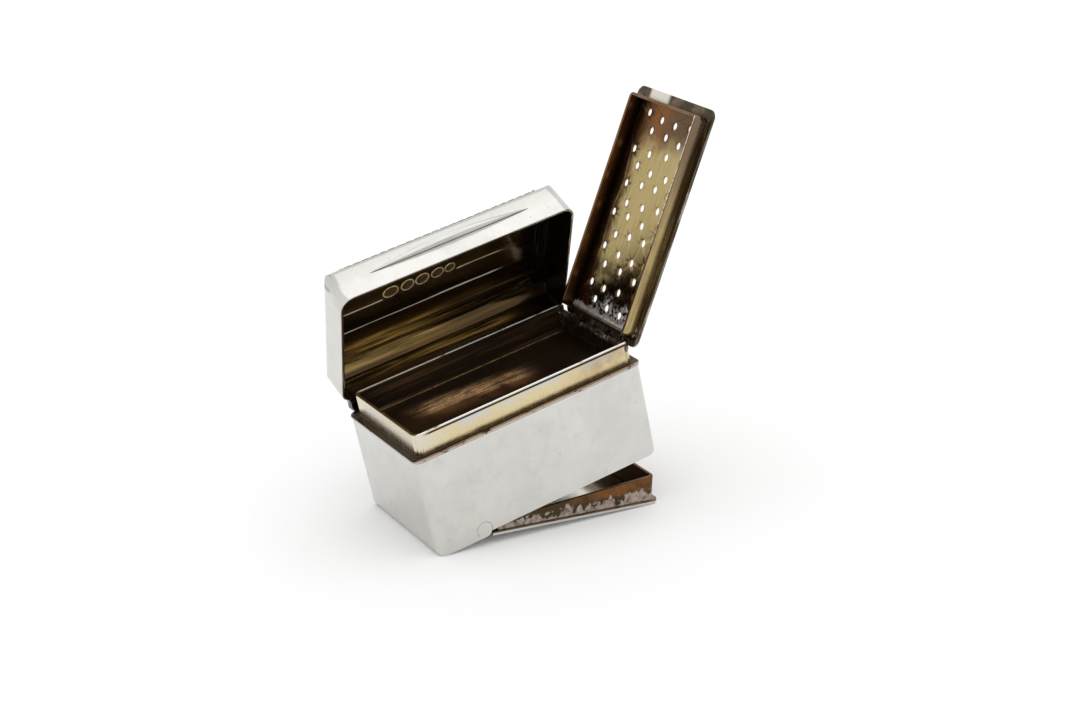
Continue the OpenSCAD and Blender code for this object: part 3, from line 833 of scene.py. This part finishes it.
def loft_faces(rows, row_length, closed):
    """Four-sided faces between rows of points that follow each other."""
    last = row_length if closed else row_length - 1
    faces = []
    for row in range(rows - 1):
        for step in range(last):
            here = row * row_length + step
            beside = row * row_length + (step + 1) % row_length
            faces.append((here, beside, beside + row_length, here + row_length))
    return faces


def renumbered(faces, first):
    """The same faces for points that start at a later number."""
    return [tuple(first + corner for corner in face) for face in faces]


def ring_finishes(rings, around):
    """The finish of each face between rings, which is the last value of the ring outside it."""
    return [ring[-1] for ring in rings[:-1] for step in range(around)]


def angles_round(steps):
    """Evenly spaced angles of a full turn."""
    return [step / steps * 2 * math.pi for step in range(steps)]


def stops_along(middle, reach, spacing):
    """About evenly spaced places on a line that reaches as far to both sides of its middle."""
    steps = round(2 * reach / spacing)
    return [middle - reach + 2 * reach * step / steps for step in range(steps + 1)]


def stops_round(length, width, radius, spacing, sides=4):
    """Points and outward directions round a rectangle with rounded corners, about evenly spaced."""
    spans = (length - 2 * radius, width - 2 * radius)
    corner = Vector((-spans[0] / 2, -spans[1] / 2))
    stops = []
    for side in range(sides):
        turn = Matrix.Rotation(side * math.pi / 2, 2)
        forward = turn @ Vector((1, 0))
        outward = turn @ Vector((0, -1))
        span = spans[side % 2]
        steps = round(span / spacing)
        for step in range(steps):
            stops.append((corner + radius * outward + span * step / steps * forward, outward))
        corner = corner + span * forward
        bends = max(2, round(radius * math.pi / 2 / spacing))
        for bend in range(bends):
            angle = bend / bends * math.pi / 2
            direction = math.cos(angle) * outward + math.sin(angle) * forward
            stops.append((corner + radius * direction, direction))
    return stops


def uneven(x, y, layers):
    """A smooth random level, summed from layers with a height, a size in millimetres and a seed each."""
    return sum(height * noise.noise(Vector((x / size, y / size, seed))) for height, size, seed in layers)


FILM_ROWS = 7


def corner_film(name, leaf, edge, body, finish, closed):
    """A hollow fillet of solder or dirt in the corner between two faces.

    The edge is a list of points, each with the directions in which the two faces leave it
    and how far the film reaches along each face."""
    points = []
    for row in range(FILM_ROWS):
        t = row / (FILM_ROWS - 1)
        for point, first, second, first_reach, second_reach in edge:
            place = point + first_reach * (1 - t) ** 2 * first + second_reach * t ** 2 * second
            points.append(leaf.at(*place))
    add_piece(name, points, loft_faces(FILM_ROWS, len(edge), closed), body, [finish])


# Films in corners, in millimetres: the spacing of points, the usual and the least reach, and the layers
# that uneven takes. The bezel's dirt spreads so many times further along the ledge than up the bezel
BEZEL_DIRT = {"spacing": 0.4, "reach": 0.15, "layers": [(0.09, 1.5, 1)], "spread": 1.2}
FLOOR_SOLDER = {"spacing": 0.4, "reach": 0.1, "least": 0.02, "layers": [(0.08, 2.0, 8)]}
RESIDUE_DOWN = {"spacing": 0.12, "reach": 0.5, "layers": [(0.35, 0.9, 5)]}
RESIDUE_ALONG = {"reach": 0.7, "least": 0.1, "layers": [(0.6, 1.4, 6), (0.3, 0.4, 7)]}
SOLDER_FOOT = {"spacing": 0.1, "reach": 0.09, "layers": [(0.03, 0.8, 4)]}
# Height of the solder on the cover's walls, as shares of the wall: at the near end, what it loses
# towards the far end, and its limits
SOLDER_SPLASH = {"near": 0.5, "loss": 0.3, "least": 0.03, "most": 0.8}
SPLASH_LAYERS = [(0.5, 1.3, 2), (0.35, 0.5, 3)]
# Tall splash of solder near the far end of those walls: its place, half its width and share of the wall
FAR_SPLASH = {"x": 9.6, "half_width": 0.7, "share": 0.3}

bezel_middle = (BEZEL["left"] + BEZEL["right"]) / 2
bezel_length = BEZEL["right"] - BEZEL["left"]


def make_bezel_fillet():
    """Dirt and solder in the corner at the bezel's foot."""
    edge = []
    for stop, outward in stops_round(bezel_length, BEZEL["width"], BEZEL["corner"], BEZEL_DIRT["spacing"]):
        reach = BEZEL_DIRT["reach"] + uneven(stop.x, stop.y, BEZEL_DIRT["layers"])
        point = Vector((bezel_middle + stop.x, stop.y, 0))
        edge.append((point, UP, outward.to_3d(), reach, BEZEL_DIRT["spread"] * reach))
    corner_film("bezel_foot_dirt", box, edge, "case", "foot_dirt", closed=True)


def make_floor_solder():
    """The thin line of solder between the compartment's floor and the back of the bezel."""
    half_length = bezel_length / 2 - BEZEL["corner"]
    wall_y = BEZEL["width"] / 2 - BEZEL["thick"]
    edge = []
    for x in stops_along(bezel_middle, half_length, FLOOR_SOLDER["spacing"]):
        reach = max(FLOOR_SOLDER["least"], FLOOR_SOLDER["reach"] + uneven(x, 0, FLOOR_SOLDER["layers"]))
        edge.append((Vector((x, wall_y, BEZEL["floor"])), UP, Vector((0, -1, 0)), reach, reach))
    corner_film("floor_solder", box, edge, "case", "floor_solder", closed=False)


def make_cover_solder():
    """Lumpy splashes of solder along the foot of the cover's walls."""
    middle = (COVER_WALL["left"] + COVER_WALL["right"]) / 2
    length = COVER_WALL["right"] - COVER_WALL["left"]
    width = COVER_WALL["width"]
    rise = COVER_WALL_HEIGHT["far"] - COVER_WALL_HEIGHT["near"]
    edge = []
    for stop, outward in stops_round(length, width, COVER_WALL["corner"], SOLDER_FOOT["spacing"], sides=3):
        along = (stop.x + length / 2) / length
        wall = COVER_WALL_HEIGHT["near"] + rise * along
        lumps = uneven(stop.x, stop.y, SPLASH_LAYERS)
        splash = SOLDER_SPLASH["near"] - SOLDER_SPLASH["loss"] * along + lumps
        far = (stop.x - FAR_SPLASH["x"]) / FAR_SPLASH["half_width"]
        splash += FAR_SPLASH["share"] * math.exp(-far ** 2) * (1 + lumps)
        height = wall * min(SOLDER_SPLASH["most"], max(SOLDER_SPLASH["least"], splash))
        foot = SOLDER_FOOT["reach"] + uneven(stop.x, stop.y, SOLDER_FOOT["layers"])
        point = Vector((middle + stop.x, stop.y, COVER_WALL["foot"]))
        edge.append((point, UP, outward.to_3d(), height, foot))
    corner_film("cover_solder", cover, edge, "base_cover", "solder", closed=False)


def make_grille_residue():
    """Grey residue in the corner between the grille's plate and the wall by its hinge."""
    half_width = GRILLE_WALL["width"] / 2 - GRILLE_WALL["thick"]
    wall_x = GRILLE_WALL["right"] - GRILLE_WALL["thick"]
    edge = []
    for y in stops_along(0, half_width, RESIDUE_DOWN["spacing"]):
        down = RESIDUE_DOWN["reach"] + uneven(0, y, RESIDUE_DOWN["layers"])
        along = max(RESIDUE_ALONG["least"], RESIDUE_ALONG["reach"] + uneven(0, y, RESIDUE_ALONG["layers"]))
        edge.append((Vector((wall_x, y, GRILLE_WALL["plate"])), -UP, Vector((-1, 0, 0)), down, along))
    corner_film("grille_residue", grille, edge, "grille", "residue", closed=False)


# Head of the grille's pin on the bezel's rounded corner: rings from its edge to its middle, as
# radius and height in millimetres, and finish of the faces inside the ring
PIN_HEAD_RINGS = [
    (0.52, -0.14, 0),
    (0.5, 0.02, 0),
    (0.42, 0.03, 0),
    (0.38, 0.06, 1),
    (0.25, 0.08, 1),
    (0.01, 0.085, 1),
]
PIN_HEAD_AROUND = 24


def make_pin_head():
    """The riveted end of the grille's pin, in a dark seam."""
    centre_x = BEZEL["right"] - BEZEL["corner"]
    bend = math.asin((GRILLE_HINGE[0] - centre_x) / BEZEL["corner"])
    outward = Vector((math.sin(bend), -math.cos(bend), 0))
    beside = Vector((math.cos(bend), math.sin(bend), 0))
    corner = Vector((centre_x, BEZEL["corner"] - BEZEL["width"] / 2, GRILLE_HINGE[2]))
    middle = corner + BEZEL["corner"] * outward
    points = []
    for radius, height, finish in PIN_HEAD_RINGS:
        for angle in angles_round(PIN_HEAD_AROUND):
            reach = radius * (math.cos(angle) * beside + math.sin(angle) * UP)
            points.append(box.at(*(middle + reach + height * outward)))
    faces = loft_faces(len(PIN_HEAD_RINGS), PIN_HEAD_AROUND, closed=True)
    face_finish = ring_finishes(PIN_HEAD_RINGS, PIN_HEAD_AROUND)
    add_piece("grille_pin_head", points, faces, "case", ["hinge", "pin"], face_finish)


# Burnished ends of the base hinge: each seam's radius in millimetres, the angles between which it is
# closed, half the width of the metal rubbed over it, and its finish in make_hinge_ends
HINGE_SEAMS = [(0.52, 0, 360, 0.06, 0), (1.175, -22, 195, 0.034, 1)]
# Section of that metal: share of the half width, and height over the wall
SEAM_SECTION = [(-1, 0.001), (-0.75, 0.009), (0.75, 0.009), (1, 0.001)]
SEAM_STEPS = 48


def make_hinge_ends():
    """Metal burnished over the seams at both ends of the base hinge."""
    points = []
    faces = []
    face_finish = []
    for side in (-1, 1):
        for seam, start, end, half_width, finish in HINGE_SEAMS:
            band = loft_faces(len(SEAM_SECTION), SEAM_STEPS + 1, closed=False)
            faces += renumbered(band, len(points))
            face_finish += [finish] * len(band)
            for share, height in SEAM_SECTION:
                radius = seam + share * half_width
                for step in range(SEAM_STEPS + 1):
                    angle = math.radians(start + (end - start) * step / SEAM_STEPS)
                    x = COVER_HINGE[0] + radius * math.cos(angle)
                    z = COVER_HINGE[2] + radius * math.sin(angle)
                    points.append(box.at(x, side * (BOX_WIDTH / 2 + height), z))
    add_piece("base_hinge_ends", points, faces, "case", ["polished", "pin"], face_finish)


# Heights in the lid's own frame from which rays look for its top and its ceiling, in millimetres
OVER_LID = 20
UNDER_CEILING = 2


def lid_surface(x, y, z, direction):
    """Where a ray from a place in the lid's own frame meets the lid, and the outward direction there."""
    hit = frame["nodes"]["lid_shell"].ray_cast(lid.at(x, y, z), direction)
    return hit[1:3]


# Border round the lid's top: its loop, the size of a lobe, and the dark chased line outside the lobes,
# which is partly painted shade
BORDER = {"left": -15.9, "right": 15.9, "front": -10.1, "back": 6.4, "corner": 1.6, "pitch": 1.35}
LOBE = {"along": 0.64, "across": 0.3, "high": 0.15, "sunk": 0.02, "slant": math.radians(18)}
LOBE_AROUND = 14
LOBE_RINGS = 4
LINE = {"inner": 0.26, "outer": 0.35, "high": 0.012, "spacing": 0.4}


def border_stops(spacing, widen):
    """Points and outward directions round the border's loop, in the lid's own frame."""
    middle = Vector(((BORDER["left"] + BORDER["right"]) / 2, (BORDER["front"] + BORDER["back"]) / 2))
    length = BORDER["right"] - BORDER["left"]
    width = BORDER["back"] - BORDER["front"]
    stops = stops_round(length, width, BORDER["corner"], spacing)
    return [(middle + stop + widen * outward, outward) for stop, outward in stops]


def lobe_points(point, normal, outward):
    """Points of one slanting lobe on the lid, in rings from its foot and then its top."""
    across = lid.step(outward.to_3d()) / MM
    across = (across - across.dot(normal) * normal).normalized()
    along = normal.cross(across)
    across, along = turned(across, along, LOBE["slant"])
    points = []
    for ring in range(LOBE_RINGS):
        slope = ring / LOBE_RINGS * math.pi / 2
        rise = LOBE["high"] * math.sin(slope) - LOBE["sunk"]
        for angle in angles_round(LOBE_AROUND):
            reach = LOBE["along"] * math.cos(angle) * along + LOBE["across"] * math.sin(angle) * across
            points.append(point + MM * (math.cos(slope) * reach + rise * normal))
    points.append(point + MM * (LOBE["high"] - LOBE["sunk"]) * normal)
    return points


def lobe_faces():
    """Faces of one lobe: rings from its foot, and a fan round its top."""
    top_ring = (LOBE_RINGS - 1) * LOBE_AROUND
    top = LOBE_RINGS * LOBE_AROUND
    fan = [(top_ring + step, top_ring + (step + 1) % LOBE_AROUND, top) for step in range(LOBE_AROUND)]
    return loft_faces(LOBE_RINGS, LOBE_AROUND, closed=True) + fan


def make_lid_border():
    """A row of slanting lobes round the lid's top, each with a dull foot."""
    points = []
    faces = []
    face_finish = []
    one_lobe = lobe_faces()
    for stop, outward in border_stops(BORDER["pitch"], 0):
        faces += renumbered(one_lobe, len(points))
        face_finish += [1] * LOBE_AROUND + [0] * (len(one_lobe) - LOBE_AROUND)
        points += lobe_points(*lid_surface(stop.x, stop.y, OVER_LID, -lid.up), outward)
    # The lobes take the thumbpiece's silver with its painted highlight
    add_piece("lid_border", points, faces, "lid", ["thumb", "pin"], face_finish)


def make_border_line():
    """A dark strip outside the lobes: a chased line, partly painted shade along the border."""
    points = []
    for reach in (LINE["inner"], LINE["outer"]):
        for stop, outward in border_stops(LINE["spacing"], reach):
            point, normal = lid_surface(stop.x, stop.y, OVER_LID, -lid.up)
            points.append(point + LINE["high"] * MM * normal)
    faces = loft_faces(2, len(points) // 2, closed=True)
    add_piece("lid_border_line", points, faces, "lid", ["hinge"])


# Blank oval punch marks inside the lid: middle, half length and half width in millimetres
PUNCH_ROW_Y = -1.2
PUNCHES = [
    (-7.42, 1.3, 1.05),
    (-4.73, 1.1, 1.05),
    (-2.36, 1.15, 1.05),
    (0.09, 1.05, 0.95),
    (2.11, 0.88, 0.85),
]
# Rings of a punch mark from its edge to its middle: share of its size, height in millimetres, and
# finish of the faces inside the ring
PUNCH_RINGS = [
    (1.0, -0.01, 0),
    (0.96, 0.06, 0),
    (0.88, 0.06, 0),
    (0.82, 0.012, 1),
    (0.45, 0.02, 1),
    (0.02, 0.015, 1),
]
PUNCH_AROUND = 32


def make_punch_marks():
    """A row of blank ovals with raised rims on the lid's ceiling."""
    points = []
    faces = []
    face_finish = []
    for middle, half_length, half_width in PUNCHES:
        faces += renumbered(loft_faces(len(PUNCH_RINGS), PUNCH_AROUND, closed=True), len(points))
        face_finish += ring_finishes(PUNCH_RINGS, PUNCH_AROUND)
        for share, height, finish in PUNCH_RINGS:
            for angle in angles_round(PUNCH_AROUND):
                x = middle + share * half_length * math.cos(angle)
                y = PUNCH_ROW_Y + share * half_width * math.sin(angle)
                point, normal = lid_surface(x, y, UNDER_CEILING, lid.up)
                points.append(point + height * MM * normal)
    finish_names = ["punch_ridge", "punch_field"]
    add_piece("punch_marks", points, faces, "lid", finish_names, face_finish)


make_bezel_fillet()
make_floor_solder()
make_cover_solder()
make_grille_residue()
make_pin_head()
make_hinge_ends()
make_lid_border()
make_border_line()
make_punch_marks()

# The stage, in metres and watts
FLOOR_SIZE = 6.0
LAMP = {"place": Vector((0, 0, 2.0)), "aim": Vector((0, 0, 0)), "size": 2.0, "power": 6.0}
# The camera: its place in metres, its directions to the right and up, and its film and lens in millimetres
CAMERA_PLACE = Vector((-0.135035, -0.240687, 0.124511))
CAMERA_RIGHT = Vector((0.86419, -0.50316, -0.00193))
CAMERA_UP = Vector((0.17816, 0.3024, 0.93638))
FILM_WIDTH = 36.0
LENS = 70.0
NEAREST_SEEN = 0.01


def make_floor():
    """A plain white floor that keeps the object's shadow."""
    bpy.ops.mesh.primitive_plane_add(size=FLOOR_SIZE, location=(0, 0, 0))
    floor = bpy.context.object
    floor.name = "floor"
    material = bpy.data.materials.new("white_floor")
    material.use_nodes = True
    surface = material.node_tree.nodes["Principled BSDF"].inputs
    surface["Base Color"].default_value = FLOOR_WHITE
    surface["Roughness"].default_value = 0.9
    surface["Specular IOR Level"].default_value = 0.0
    floor.data.materials.append(material)


def make_world():
    """Even white surroundings."""
    world = bpy.data.worlds.new("studio")
    bpy.context.scene.world = world
    world.use_nodes = True
    sky = world.node_tree.nodes["Background"].inputs
    sky["Color"].default_value = (1, 1, 1, 1)
    sky["Strength"].default_value = 1.0


def make_lamp():
    """A large soft lamp overhead."""
    lamp = bpy.data.lights.new("overhead", "AREA")
    lamp.shape = "SQUARE"
    lamp.size = LAMP["size"]
    lamp.energy = LAMP["power"]
    holder = bpy.data.objects.new("overhead", lamp)
    holder.location = LAMP["place"]
    holder.rotation_euler = (LAMP["aim"] - LAMP["place"]).to_track_quat("-Z", "Y").to_euler()
    bpy.context.scene.collection.objects.link(holder)


def make_camera():
    """The photograph's place and lens."""
    axes = (CAMERA_RIGHT, CAMERA_UP, CAMERA_RIGHT.cross(CAMERA_UP))
    data = bpy.data.cameras.new("camera")
    data.sensor_width = FILM_WIDTH
    data.lens = LENS
    data.clip_start = NEAREST_SEEN
    camera = bpy.data.objects.new("camera", data)
    camera.matrix_world = Matrix.Translation(CAMERA_PLACE) @ Matrix(axes).transposed().to_4x4()
    bpy.context.scene.collection.objects.link(camera)
    bpy.context.scene.camera = camera


make_floor()
make_world()
make_lamp()
make_camera()
bpy.context.scene.view_settings.view_transform = "Standard"
